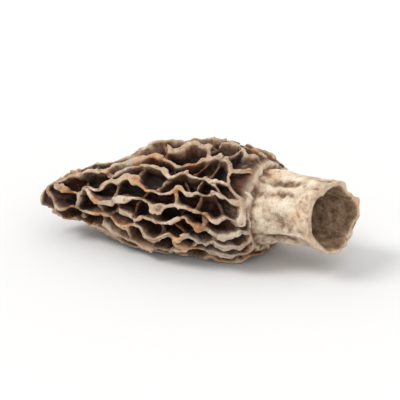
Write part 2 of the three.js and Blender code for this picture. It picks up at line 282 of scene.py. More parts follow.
TU, TR = np.arange(-2.4, 38.4, 0.1), np.arange(0, 10.4, 0.1)
_UU, _RR = np.meshgrid(TU, TR, indexing="ij")
CAP_D, CAP_ARC = distance_to(CAP, _UU, _RR)
HOLLOW_D, _ = distance_to(HOLLOW, _UU, _RR)
OUTER_D, OUTER_ARC = distance_to(CAP[np.argmin(CAP[:, 0]):], _UU, _RR)
OUTER_D, OUTER_ARC = np.where(CAP_D < 0, -np.abs(OUTER_D), np.abs(OUTER_D)), OUTER_ARC + MARGIN_T


def table(M, x, r):
    return bilinear(M, (x - TU[0]) / 0.1, r / 0.1)


def hollow_side(x, y, z, d):
    """distance out from the crumpled wall of the hollow"""
    crumple = 0.26 * noise(x, y, z, 3.0, 51) + 0.12 * noise(x, y, z, 1.2, 52)
    return d + crumple * (smooth(5.0, 12.0, x) + 0.10)


def field():
    NT, NA = 760, 1500
    TT, AA = np.meshgrid(np.linspace(0, CAP_LEN, NT), np.linspace(0, 2 * math.pi, NA + 1), indexing="ij")
    maps = network(AA, TT)
    xs = np.arange(-1.2, 37.0, GRID, dtype=np.float32)
    ys = np.arange(-9.15, 9.15, GRID, dtype=np.float32)
    X, Y, Z = np.meshgrid(xs, ys, ys, indexing="ij")
    shape = X.shape
    X, Y, Z = X.ravel(), Y.ravel(), Z.ravel()
    R = np.sqrt(Y * Y + Z * Z)
    D = table(CAP_D, X, R)
    DH = table(HOLLOW_D, X, R)

    # ---- the stem: furrows run along it, folds gather at its ends, and the cut end is ragged
    idx = np.nonzero((X < 11.8) & (R < 6.4))[0]
    x, y, z, r = X[idx], Y[idx], Z[idx], R[idx]
    th = np.arctan2(z, y)
    ca, sa = np.cos(th), np.sin(th)
    furrow = noise(x * 0.22 + 3, ca * 3.4, sa * 3.4, 1.5, 21)
    fine = noise(x * 0.35, ca * 3.4 + 5, sa * 3.4, 0.8, 22)
    fold = 1 - 2 * np.abs(noise(x * 0.18 + 1.3 * noise(x, ca * 3, sa * 3, 5.0, 25), ca * 3.4 - 7, sa * 3.4, 1.9, 23))
    # the granules lie on axes of their own, so that they don't line up with the furrows
    gx, gy, gz = 0.62 * x + 0.55 * y + 0.56 * z, -0.71 * x + 0.70 * y + 0.10 * z, -0.34 * x - 0.46 * y + 0.82 * z
    bent = 0.45 * noise(gy, gz, gx, 1.7, 29)
    rs = np.interp(x, STEM[:, 0], STEM[:, 1]).astype(np.float32) + 0.28 * furrow + 0.20 * fine + 0.32 * fold \
        + 0.10 * noise(gx + bent, gy - bent, gz, 1.15, 24) + 0.07 * noise(gx, gy + bent, gz, 0.55, 28)
    bore = np.interp(x, HOLLOW[:, 0], HOLLOW[:, 1]).astype(np.float32)
    rs = smax(rs, bore + 0.42, 0.15)
    cut = 0.25 + 0.45 * noise(ca * 3, sa * 3, 0 * x, 2.3, 26) + 0.16 * noise(ca * 6, sa * 6, 0 * x, 1.1, 27)
    fs = smax(smax(r - rs, cut - x, 0.30), x - 12.2, 0.3)
    FS = np.full(X.size, 5.0, np.float32)
    FS[idx] = fs

    # ---- the cap: thin ribs with rolled edges that lean and ruffle, over a wrinkled floor
    idx = np.nonzero((D < 0.7) & (D > -4.3) & (X > 7.0))[0]
    x, y, z, r, de = X[idx], Y[idx], Z[idx], R[idx], D[idx]
    th = np.arctan2(z, y)
    ca, sa = np.cos(th), np.sin(th)
    t = table(CAP_ARC, x, r)
    H = pit_depth(t).astype(np.float32)
    deep = -de
    up = np.clip(1 - deep / np.maximum(H, 0.3), -0.2, 1.2)
    eu, er = cap_at(t)
    ex, ey, ez = eu.astype(np.float32), (er * ca).astype(np.float32), (er * sa).astype(np.float32)
    lift = np.clip(up, 0, 1.1) ** 1.2
    lean_a = 0.70 * noise(x, y, z, 3.1, 31) + 0.42 * noise(ex, ey, ez, 1.5, 32) + 0.16 * noise(ex, ey, ez, 0.75, 35)
    lean_t = 0.60 * noise(x, y, z, 3.3, 33) + 0.38 * noise(ex, ey, ez, 1.6, 34) + 0.14 * noise(ex, ey, ez, 0.8, 36)
    fa = np.mod(th + lean_a * lift / np.maximum(r, 1.0), 2 * math.pi) / (2 * math.pi) * NA
    ft = (t + lean_t * lift) / CAP_LEN * (NT - 1)
    d_rib, h_rib, d_crs, h_crs = [bilinear(M, ft, fa) for M in maps]
    half = 0.26 - 0.05 * np.clip(up, 0, 1) + 0.21 * np.clip((up - 0.55) / 0.45, 0, 1) ** 2 + 0.10 * noise(x, y, z, 2.2, 41)
    edge = np.clip(0.34 * noise(ex, ey, ez, 2.4, 42) + 0.20 * noise(ex, ey, ez, 1.0, 43) + 0.10, -0.10, 0.8)

    rolled = 0.13 * np.clip(0.35 + 1.3 * noise(ex, ey, ez, 3.1, 49), 0, 1)

    def plate(d, height):
        top = H * (1 - height) + edge * np.clip(H, 0, 1) + rolled * np.exp(-(d / 0.13) ** 2)
        rho = np.minimum(half * 0.9, 0.22)
        qx, qy = np.abs(d) - half + rho, top - deep + rho
        return np.sqrt(np.maximum(qx, 0) ** 2 + np.maximum(qy, 0) ** 2) + np.minimum(np.maximum(qx, qy), 0) - rho

    swerve = 0.6 * noise(ex, ey, ez, 1.2, 53)
    vein = np.clip(1 - np.abs(noise(ex * 0.75 + swerve, ey - swerve, ez, 2.5, 45)) / 0.14, 0, 1)
    floor_at = H * (1.0 + 0.12 * noise(x, y, z, 3.0, 46)) - 0.42 * vein * vein * (3 - 2 * vein) - 0.12 * noise(ex, ey, ez, 0.8, 44)
    f = smin(plate(d_rib, h_rib), plate(d_crs, h_crs), 0.18)
    f = smin(f, floor_at - deep, 0.45)
    f = smax(f, de - 0.25, 0.2)
    f = f + 0.065 * noise(x, y, z, 0.62, 47) + 0.04 * noise(x, y, z, 0.38, 48) + 0.05 * noise(ex, ey, ez, 0.52, 50)
    F = np.where(D <= -4.3, -2.0, 2.0).astype(np.float32)
    F[X <= 7.0] = 2.0
    F[idx] = f
    F = smin(F, FS, 0.45)

    # ---- one hollow through stem and cap, with a wall that stays whole under the pits
    idx = np.nonzero(DH < 1.5)[0]
    x, y, z = X[idx], Y[idx], Z[idx]
    open_to = hollow_side(x, y, z, DH[idx])
    F[idx] = np.where(x > 10.5, smin(F[idx], open_to - 0.50, 0.2), F[idx])
    F[idx] = smax(F[idx], -open_to, 0.25)
    return F.reshape(shape), (float(xs[0]), float(ys[0]), float(ys[0]))


def heal(F):
    """removes the places where the surface would touch itself along an edge or at a point"""
    S = F < 0
    for _ in range(12):
        count = 0
        for ax in range(3):
            b, c = [a for a in range(3) if a != ax]
            n = F.shape

            def part(i, j):
                sl = [slice(None)] * 3
                sl[b] = slice(i, n[b] - 1 + i)
                sl[c] = slice(j, n[c] - 1 + j)
                return tuple(sl)
            s00, s10, s01, s11 = S[part(0, 0)], S[part(1, 0)], S[part(0, 1)], S[part(1, 1)]
            bad = ((s00 & s11 & ~s10 & ~s01) | (~s00 & ~s11 & s10 & s01))
            if bad.any():
                count += int(bad.sum())
                for i in (0, 1):
                    for j in (0, 1):
                        S[part(i, j)] |= bad
        n = F.shape

        def corner(i, j, k):
            return (slice(i, n[0] - 1 + i), slice(j, n[1] - 1 + j), slice(k, n[2] - 1 + k))
        total = np.zeros((n[0] - 1, n[1] - 1, n[2] - 1), np.int8)
        for i in (0, 1):
            for j in (0, 1):
                for k in (0, 1):
                    total += S[corner(i, j, k)]
        for i, j, k in ((0, 0, 0), (1, 0, 0), (0, 1, 0), (1, 1, 0)):
            a, b2 = S[corner(i, j, k)], S[corner(1 - i, 1 - j, 1 - k)]
            bad = (a & b2 & (total == 2)) | (~a & ~b2 & (total == 6))
            if bad.any():
                count += int(bad.sum())
                for ii in (0, 1):
                    for jj in (0, 1):
                        for kk in (0, 1):
                            S[corner(ii, jj, kk)] |= bad
        if count == 0:
            break
    return np.where(S & (F >= 0), np.float32(-0.02), F)


def surface(F, origin):
    """one vertex in each cell that the surface crosses, one quad across each grid edge that it crosses"""
    S = F < 0
    nx, ny, nz = F.shape
    corners = [(a, b, c) for a in (0, 1) for b in (0, 1) for c in (0, 1)]
    total = np.zeros((nx - 1, ny - 1, nz - 1), np.int8)
    for a, b, c in corners:
        total += S[a:nx - 1 + a, b:ny - 1 + b, c:nz - 1 + c]
    I, J, K = np.nonzero((total > 0) & (total < 8))
    ids = np.full(total.shape, -1, np.int64)
    ids[I, J, K] = np.arange(len(I))
    acc, cnt = np.zeros((len(I), 3)), np.zeros(len(I))
    vals = {c: F[I + c[0], J + c[1], K + c[2]].astype(np.float64) for c in corners}
    for a in corners:
        for ax in range(3):
            if a[ax] == 0:
                b = list(a)
                b[ax] = 1
                va, vb = vals[a], vals[tuple(b)]
                m = (va < 0) != (vb < 0)
                w = va[m] / (va[m] - vb[m])
                p = np.repeat(np.array(a, float)[None], int(m.sum()), 0)
                p[:, ax] += w
                acc[m] += p
                cnt[m] += 1
    V = (acc / cnt[:, None] + np.stack([I, J, K], 1)) * GRID + np.array(origin)[None]
    quads = []
    for ax in range(3):
        b, d = [a for a in range(3) if a != ax]
        s0, s1 = [slice(None)] * 3, [slice(None)] * 3
        s0[ax], s1[ax] = slice(0, -1), slice(1, None)
        A, B = S[tuple(s0)], S[tuple(s1)]
        e = list(np.nonzero(A != B))
        flip = A[tuple(e)]

        def cell(ob, od):
            q = [v.copy() for v in e]
            q[b] = q[b] - ob
            q[d] = q[d] - od
            return ids[tuple(q)]
        q = np.stack([cell(1, 1), cell(0, 1), cell(0, 0), cell(1, 0)], 1)
        q = np.where((flip if ax != 1 else ~flip)[:, None], q, q[:, ::-1])
        quads.append(q)
    return V, np.concatenate(quads)


def main_body(V, Q):
    """drops loose crumbs and keeps the one connected body"""
    lab = np.arange(len(V))
    E = np.concatenate([Q[:, [0, 1]], Q[:, [1, 2]], Q[:, [2, 3]]])
    while True:
        m = np.minimum(lab[E[:, 0]], lab[E[:, 1]])
        new = lab.copy()
        np.minimum.at(new, E[:, 0], m)
        np.minimum.at(new, E[:, 1], m)
        new = new[new]
        if (new == lab).all():
            break
        lab = new
    u, c = np.unique(lab, return_counts=True)
    keep = lab == u[np.argmax(c)]
    remap = np.full(len(V), -1, np.int64)
    remap[keep] = np.arange(int(keep.sum()))
    return V[keep], remap[Q[keep[Q[:, 0]]]]


def dried(P):
    """wavy margin, furrowed stem, twist, lumps, sunken and flat sides, crumple and bends, as in the CAD model"""
    x, y, z = [P[:, i].astype(np.float64) for i in range(3)]
    w = smooth(6.0, 13.0, x)
    th = np.arctan2(z, y)
    ca, sa = np.cos(th), np.sin(th)
    wander = MARGIN_WAVE * noise(ca * 3.1 + 4, sa * 3.1, x * 0.1, 1.9, 73) + MARGIN_SLANT[0] * np.cos(th - MARGIN_SLANT[1])
    x = x + wander * np.exp(-((x - 9.3) / 3.0) ** 2) * smooth(4.7, 5.8, np.hypot(y, z))
    f = 1 + smooth(11.5, 7.5, x) * (STEM_FURROWS[0] * noise(x * 0.16 + 3, ca * 3.2, sa * 3.2, 2.0, 71)
                                    - STEM_FURROWS[1] * (1 - 2.2 * np.abs(noise(x * 0.14 + 9, ca * 3.0, sa * 3.0, 2.3, 72))))
    y, z = y * f, z * f
    a = TWIST * np.clip((x - 8) / 26, 0, 1)
    y, z = y * np.cos(a) - z * np.sin(a), y * np.sin(a) + z * np.cos(a)
    s = 1 + w * (0.12 * noise(x, y, z, 9.5, 61) + 0.075 * noise(x, y, z, 5.2, 62))
    th = np.arctan2(z, y)
    for at, deep, wide, start, stop, lean in SUNKEN:
        d = np.mod(th - at - lean * (x - 20) + math.pi, 2 * math.pi) - math.pi
        s = s - deep * np.exp(-(d / wide) ** 2) * smooth(start, start + 7, x) * smooth(stop, stop - 9, x)
    y, z = y * s * (1.0 + 0.05 * (1 - w) + 0.03 * w), z * s * (STEM_FLATTEN + (CAP_FLATTEN - STEM_FLATTEN) * w)
    e = smooth(7.0, 0.5, x)
    ca, sa = math.cos(SQUEEZED_END[0]), math.sin(SQUEEZED_END[0])
    p, q = (y * ca + z * sa) * (1 + SQUEEZED_END[1] * e), (-y * sa + z * ca) * (1 - SQUEEZED_END[2] * e)
    y, z = p * ca - q * sa, p * sa + q * ca
    c = 0.35 + 0.65 * w
    dx = 0.34 * noise(x, y, z, 3.4, 63) + 0.12 * noise(x, y, z, 1.6, 66)
    dy = 0.38 * noise(x, y, z, 3.4, 64) + 0.14 * noise(x, y, z, 1.6, 67)
    dz = 0.38 * noise(x, y, z, 3.4, 65) + 0.14 * noise(x, y, z, 1.6, 68)
    x, y, z = x + c * dx, y + c * dy, z + c * dz
    q = (PRESSED_SLOPE * (x - 17) - PRESSED_SIDE - z) / PRESSED_ROUND
    z = z + PRESSED_SHARE * PRESSED_ROUND * np.where(q > 20, q, np.log1p(np.exp(np.minimum(q, 20))))
    cap_ang, cap_r = np.clip(x - BEND_START, 0, None) / BEND_RADIUS, BEND_RADIUS - y
    stem_ang, stem_r = np.clip(STEM_BEND_FROM - x, 0, None) / STEM_BEND_RADIUS, STEM_BEND_RADIUS - y
    in_cap, in_stem = x > BEND_START, x < STEM_BEND_FROM
    x = np.where(in_cap, BEND_START + cap_r * np.sin(cap_ang), np.where(in_stem, STEM_BEND_FROM - stem_r * np.sin(stem_ang), x))
    y = np.where(in_cap, BEND_RADIUS - cap_r * np.cos(cap_ang), np.where(in_stem, STEM_BEND_RADIUS - stem_r * np.cos(stem_ang), y))
    return np.stack([x, y, z], 1)


def laid_down(P):
    n = np.array(RESTING_UP) / np.linalg.norm(RESTING_UP)
    v = np.cross(n, [0, 0, 1.0])
    K = np.array([[0, -v[2], v[1]], [v[2], 0, -v[0]], [-v[1], v[0], 0]])
    turn = np.diag([-1.0, -1.0, 1.0]) @ (np.eye(3) + K + K @ K / (1 + n[2]))
    return P @ turn.T


# ======================================================================================================
# The mesh
# ======================================================================================================
def mesh_from(name, V, faces):
    me = bpy.data.meshes.new(name)
    n = faces.shape[1]
    me.vertices.add(len(V))
    me.vertices.foreach_set("co", np.ascontiguousarray(V, np.float32).ravel())
    me.loops.add(faces.size)
    me.loops.foreach_set("vertex_index", faces.astype(np.int32).ravel())
    me.polygons.add(len(faces))
    me.polygons.foreach_set("loop_start", np.arange(len(faces), dtype=np.int32) * n)
    me.polygons.foreach_set("loop_total", np.full(len(faces), n, np.int32))
    me.update(calc_edges=True)
    return me


def corners_of(me):
    V = np.empty(len(me.vertices) * 3, np.float32)
    me.vertices.foreach_get("co", V)
    return V.reshape(-1, 3).astype(np.float64)


def triangles_of(me):
    me.calc_loop_triangles()
    T = np.empty(len(me.loop_triangles) * 3, np.int32)
    me.loop_triangles.foreach_get("vertices", T)
    return T.reshape(-1, 3)


def next_faces(T):
    """for each triangle, the one across each of its edges"""
    a, b = T[:, [0, 1, 2]].ravel().astype(np.int64), T[:, [1, 2, 0]].ravel().astype(np.int64)
    key = np.minimum(a, b) * (int(T.max()) + 1) + np.maximum(a, b)
    order = np.argsort(key, kind="stable")
    same = key[order[1:]] == key[order[:-1]]
    out = np.full(len(key), -1, np.int64)
    i, j = order[:-1][same], order[1:][same]
    out[i], out[j] = j // 3, i // 3
    return out.reshape(-1, 3)


def charts_of(P, T, reach=5.0, least=0.40, few=20, some=60):
    """patches that face one way and so lie flat without a fold, each with the direction that it faces"""
    n = np.cross(P[T[:, 1]] - P[T[:, 0]], P[T[:, 2]] - P[T[:, 0]])
    size = np.linalg.norm(n, axis=1)
    n /= np.maximum(size, 1e-12)[:, None]
    mid = P[T].mean(1)
    near = next_faces(T)
    mean = n.copy()
    for k in range(10):
        mean = 0.25 * mean + 0.25 * sum(np.where((near[:, c] >= 0)[:, None], mean[near[:, c]], mean) for c in range(3))
    flat = np.linalg.norm(mean, axis=1)
    mean /= np.maximum(flat, 1e-9)[:, None]
    chart = [-1] * len(T)
    N, M, near_list = n.tolist(), mid.tolist(), near.tolist()
    axes = []
    for f in np.argsort(-flat, kind="stable").tolist():
        if chart[f] >= 0:
            continue
        c = len(axes)
        ax, ay, az = (mean[f] if mean[f] @ n[f] > least + 0.1 else n[f]).tolist()
        mx, my, mz = M[f]
        axes.append((ax, ay, az))
        chart[f] = c
        todo = [f]
        while todo:
            later = []
            for g in todo:
                for h in near_list[g]:
                    if h < 0 or chart[h] >= 0:
                        continue
                    q, p = N[h], M[h]
                    if q[0] * ax + q[1] * ay + q[2] * az < least:
                        continue
                    if (p[0] - mx) ** 2 + (p[1] - my) ** 2 + (p[2] - mz) ** 2 > reach * reach:
                        continue
                    chart[h] = c
                    later.append(h)
            todo = later
    chart, axes = np.array(chart), np.array(axes)
    # slivers join a neighbour that they lie flat with
    for k in range(40):
        count = np.bincount(chart, minlength=len(axes))
        small = np.nonzero(count[chart] < (few if k < 20 else some))[0]
        cn = chart[near[small]]
        fit = np.einsum("ijk,ik->ij", axes[cn], n[small])
        fit[(cn == chart[small][:, None]) | (near[small] < 0) | (count[cn] < count[chart[small]][:, None])] = -1
        pick = fit.argmax(1)
        rows = np.arange(len(small))
        good = (fit[rows, pick] > 0.22) & ((small + k) % 2 == 0)
        if k % 2 and not good.any():
            continue
        chart[small[good]] = cn[rows, pick][good]
    # where a patch winds round over itself, its upper layer becomes a patch of its own
    side = np.where(np.abs(axes[:, 2:3]) < 0.8, [[0, 0, 1.0]], [[1.0, 0, 0]])
    e1 = np.cross(side, axes)
    e1 /= np.linalg.norm(e1, axis=1)[:, None]
    e2 = np.cross(axes, e1)
    for k in range(6):
        a, b, tall = [(mid * e[chart]).sum(1) for e in (e1, e2, axes)]
        nu, nv, nw = [(n * e[chart]).sum(1) for e in (e1, e2, axes)]
        su, sv = -nu / np.maximum(nw, 0.15), -nv / np.maximum(nw, 0.15)
        over = np.zeros(len(T), bool)
        for cell_size, p, q in ((0.20, 0.0, 0.0), (0.20, 0.5, 0.5), (0.20, 0.5, 0.0), (0.20, 0.0, 0.5), (0.32, 0.25, 0.75)):
            i, j = [np.floor(v / cell_size + 2000 + w).astype(np.int64) for v, w in ((a, p), (b, q))]
            _, cell = np.unique((chart * 8192 + i) * 8192 + j, return_inverse=True)
            order = np.lexsort((tall, cell))
            first = np.concatenate([[True], cell[order][1:] != cell[order][:-1]])
            low = order[first][cell]
            da, db = a - a[low], b - b[low]
            # a layer of its own lies clear of the lowest face's plane, and that face clear of its plane
            over |= np.minimum(tall - tall[low] - su[low] * da - sv[low] * db,
                               tall - tall[low] - su * da - sv * db) > 0.22
        for _ in range(2):
            same = (near >= 0) & (chart[near] == chart[:, None])
            over |= (over[near] & same).sum(1) >= 2
        if not over.any():
            break
        chart = np.where(over, chart + len(axes), chart)
        axes, e1, e2 = [np.concatenate([v, v]) for v in (axes, e1, e2)]
        used, chart = np.unique(chart, return_inverse=True)
        axes, e1, e2 = axes[used], e1[used], e2[used]
    used, chart = np.unique(chart, return_inverse=True)
    return chart, axes[used]


def laid_out(P, T, pixels=1024, gap=2):
    """a place in the unit square for each corner of each triangle: the charts are dropped in, largest first"""
    chart, axes = charts_of(P, T)
    count = len(axes)
    side = np.where(np.abs(axes[:, 2:3]) < 0.8, [[0, 0, 1.0]], [[1.0, 0, 0]])
    e1 = np.cross(side, axes)
    e1 /= np.linalg.norm(e1, axis=1)[:, None]
    e2 = np.cross(axes, e1)
    C = P[T]
    uv = np.stack([np.einsum("fkd,fd->fk", C, e1[chart]), np.einsum("fkd,fd->fk", C, e2[chart])], 2)
    # each chart is turned so that it is widest across
    flatc = np.repeat(chart, 3)
    pts = uv.reshape(-1, 2)
    num = np.bincount(flatc, minlength=count)
    mean = np.stack([np.bincount(flatc, pts[:, k], count) / num for k in (0, 1)], 1)
    d = pts - mean[flatc]
    xx, yy, xy = [np.bincount(flatc, v, count) / num for v in (d[:, 0] ** 2, d[:, 1] ** 2, d[:, 0] * d[:, 1])]
    turn = 0.5 * np.arctan2(2 * xy, xx - yy)[flatc]
    pts = np.stack([d[:, 0] * np.cos(turn) + d[:, 1] * np.sin(turn), -d[:, 0] * np.sin(turn) + d[:, 1] * np.cos(turn)], 1)
    low = np.full((count, 2), 1e9)
    np.minimum.at(low, flatc, pts)
    pts = (pts - low[flatc]).reshape(-1, 3, 2)
    high = np.zeros((count, 2))
    np.maximum.at(high, chart, pts.max(1))

    def drop(scale):
        wide = np.floor(high[:, 0] * scale).astype(int) + 1 + gap
        start = np.concatenate([[0], np.cumsum(wide)])
        bottom, top = np.full(start[-1], 1e9), np.full(start[-1], -1e9)
        tri_lo, tri_hi = pts.min(1) * scale, pts.max(1) * scale
        left = np.floor(tri_lo[:, 0]).astype(int)
        right = np.floor(tri_hi[:, 0]).astype(int) + gap
        for k in range(int((right - left).max()) + 1):
            m = left + k <= right
            at = start[chart[m]] + left[m] + k
            np.minimum.at(bottom, at, tri_lo[m, 1])
            np.maximum.at(top, at, tri_hi[m, 1])
        none = top < 0
        bottom, top = np.where(none, 0, np.floor(bottom)), np.where(none, 0, np.floor(top) + 1 + gap)
        skyline = np.zeros(pixels)
        put = np.zeros((count, 2))
        for c in np.lexsort((np.arange(count), -high[:, 1])).tolist():
            w = wide[c]
            if w > pixels:
                return None, 1e9
            b, t = bottom[start[c]:start[c + 1]], top[start[c]:start[c + 1]]
            view = np.lib.stride_tricks.sliding_window_view(skyline, w)
            y = (view - b).max(1)
            waste = (y * w + b.sum() - view.sum(1)) * 0.5 / w + y
            x = int(waste.argmin())
            put[c] = x, y[x]
            skyline[x:x + w] = np.maximum(skyline[x:x + w], y[x] + t)
        return put, skyline.max()

    lo, hi = 2.0, 24.0
    best = None
    for _ in range(9):
        mid = (lo + hi) / 2
        put, tall = drop(mid)
        if tall <= pixels:
            lo, best = mid, (put, mid)
        else:
            hi = mid
    put, scale = best
    print("MAP", count, "charts", "%.2f pixels a mm" % scale)
    return ((pts * scale + put[chart][:, None] + 0.5 * gap) / pixels).reshape(-1, 2)


F, origin = field()
V, Q = main_body(*surface(heal(F), origin))
del F
T = np.concatenate([Q[:, [0, 1, 2]], Q[:, [0, 2, 3]]])

raw = bpy.data.objects.new("raw_morel", mesh_from("raw_morel", V, T))
bpy.context.scene.collection.objects.link(raw)
thin = raw.modifiers.new("thin", "DECIMATE")
thin.ratio = MAX_TRIANGLES / len(T)
straight = bpy.data.meshes.new_from_object(raw.evaluated_get(bpy.context.evaluated_depsgraph_get()))
V, T = corners_of(straight), triangles_of(straight)
bpy.data.objects.remove(raw)
bpy.data.meshes.remove(straight)

# ------------------------------------------------------------------------------ what the surface is, at each vertex
x, y, z = V.T
r = np.hypot(y, z)
de, arc = table(OUTER_D, x, r), table(OUTER_ARC, x, r)
H = pit_depth(arc)
rise = np.clip(1 + de / np.maximum(H, 0.5), 0, 1)                     # 0 on a pit's floor, 1 on a rib's top
inner = smooth(0.30, 0.12, hollow_side(x, y, z, table(HOLLOW_D, x, r)))     # the wall of the hollow
stem = smooth(9.6, 8.3, x + 0.5 * noise(x, y, z, 1.5, 81)) * (1 - smooth(4.9, 5.6, r) * smooth(6.3, 7.4, x))
margin = smooth(4.5, 0.5, arc - MARGIN_T) * (1 - stem)
foot = smooth(2.0, 0.3, x)

P = laid_down(dried(V))
lo, hi = P.min(0), P.max(0)
SHIFT = np.array([(lo[0] + hi[0]) / 2, (lo[1] + hi[1]) / 2, lo[2]])
P = P - SHIFT

# curvature at two scales, from the mesh itself: ridges positive, creases negative; the finish uses them for painted
# highlights on ridges and bulges and painted shade in creases and hollows
E = np.concatenate([T[:, [0, 1]], T[:, [1, 2]], T[:, [2, 0]]])
E = np.unique(np.sort(E, 1), axis=0)
deg = np.bincount(E.ravel(), minlength=len(P)).astype(float)


def mean_of_neighbours(A):
    out = np.empty_like(A)
    for c in range(A.shape[1]):
        out[:, c] = np.bincount(E[:, 0], A[E[:, 1], c], len(A)) + np.bincount(E[:, 1], A[E[:, 0], c], len(A))
    return out / np.maximum(deg, 1)[:, None]


fn = np.cross(P[T[:, 1]] - P[T[:, 0]], P[T[:, 2]] - P[T[:, 0]])
N = np.zeros_like(P)
for k in range(3):
    for c in range(3):
        N[:, c] += np.bincount(T[:, k], fn[:, c], len(P))
N /= np.maximum(np.linalg.norm(N, axis=1), 1e-12)[:, None]
A = P.copy()
for _ in range(3):
    A = 0.5 * A + 0.5 * mean_of_neighbours(A)
crest_light_crease_shade = ((P - A) * N).sum(1)
B = A
for _ in range(14):
    B = 0.5 * B + 0.5 * mean_of_neighbours(B)
bulge_light_hollow_shade = ((P - B) * N).sum(1)

body = mesh_from("dried_morel_flesh", P / 1000.0, T)
for name, values in (("rise", rise), ("inner", inner), ("stem", stem), ("margin", margin), ("foot", foot),
                     ("crest_light_crease_shade", np.clip(0.5 + crest_light_crease_shade / 0.10, 0, 1)), ("bulge_light_hollow_shade", np.clip(0.5 + bulge_light_hollow_shade / 0.30, 0, 1))):
    a = body.attributes.new(name, "FLOAT", "POINT")
    a.data.foreach_set("value", np.ascontiguousarray(values, np.float32))
body.polygons.foreach_set("use_smooth", np.ones(len(body.polygons), bool))
layer = body.uv_layers.new(name="OFBake")
layer.data.foreach_set("uv", np.ascontiguousarray(laid_out(P, T), np.float32).ravel())
morel = bpy.data.objects.new("dried_morel_flesh", body)
bpy.context.scene.collection.objects.link(morel)
print("MESH", len(P), "vertices", len(T), "triangles", "crest_light_crease_shade", np.percentile(crest_light_crease_shade, [2, 50, 98]), "bulge_light_hollow_shade", np.percentile(bulge_light_hollow_shade, [2, 50, 98]),
      "box", P.min(0), P.max(0), "shift", SHIFT)

# ======================================================================================================
# The finish
# ======================================================================================================
def colour(r, g, b):
    """an sRGB colour as Blender's linear one"""
    out = []
    for v in (r, g, b):
        v /= 255.0
        out.append(v / 12.92 if v <= 0.04045 else ((v + 0.055) / 1.055) ** 2.4)
    return (*out, 1.0)


class Nodes:
    def __init__(self, name):
        self.mat = bpy.data.materials.new(name)
        self.mat.use_nodes = True
        self.tree = self.mat.node_tree
        self.tree.nodes.clear()

    def add(self, kind, **settings):
        n = self.tree.nodes.new(kind)
        for k, v in settings.items():
            setattr(n, k, v)
        return n

    def put(self, socket, value):
        if isinstance(value, bpy.types.NodeSocket):
            self.tree.links.new(value, socket)
        else:
            socket.default_value = value

    def attribute(self, name):
        return self.add("ShaderNodeAttribute", attribute_name=name).outputs["Fac"]

    def math(self, op, a, b=0.0, c=0.0, clamp=False):
        n = self.add("ShaderNodeMath", operation=op, use_clamp=clamp)
        for s, v in zip(n.inputs, (a, b, c)):
            self.put(s, v)
        return n.outputs[0]

    def span(self, v, a, b, lo=0.0, hi=1.0, smooth=True):
        n = self.add("ShaderNodeMapRange", interpolation_type="SMOOTHSTEP" if smooth else "LINEAR", clamp=True)
        for s, val in zip(n.inputs, (v, a, b, lo, hi)):
            self.put(s, val)
        return n.outputs[0]

    def mix(self, f, a, b, blend="MIX"):
        n = self.add("ShaderNodeMix", data_type="RGBA", blend_type=blend, clamp_factor=True)
        self.put(n.inputs[0], f)
        self.put(n.inputs[6], a)
        self.put(n.inputs[7], b)
        return n.outputs[2]

    def noise(self, where, scale, detail=3.0, rough=0.55, distortion=0.0):
        n = self.add("ShaderNodeTexNoise", noise_dimensions="3D")
        self.put(n.inputs["Vector"], where)
        n.inputs["Scale"].default_value = scale
        n.inputs["Detail"].default_value = detail
        n.inputs["Roughness"].default_value = rough
        n.inputs["Distortion"].default_value = distortion
        return n.outputs["Fac"]

    def ramp(self, f, stops):
        n = self.add("ShaderNodeValToRGB")
        e = n.color_ramp.elements
        e[0].position, e[0].color = stops[0]
        e[1].position, e[1].color = stops[-1]
        for p, c in stops[1:-1]:
            k = e.new(p)
            k.color = c
        self.put(n.inputs[0], f)
        return n.outputs[0]


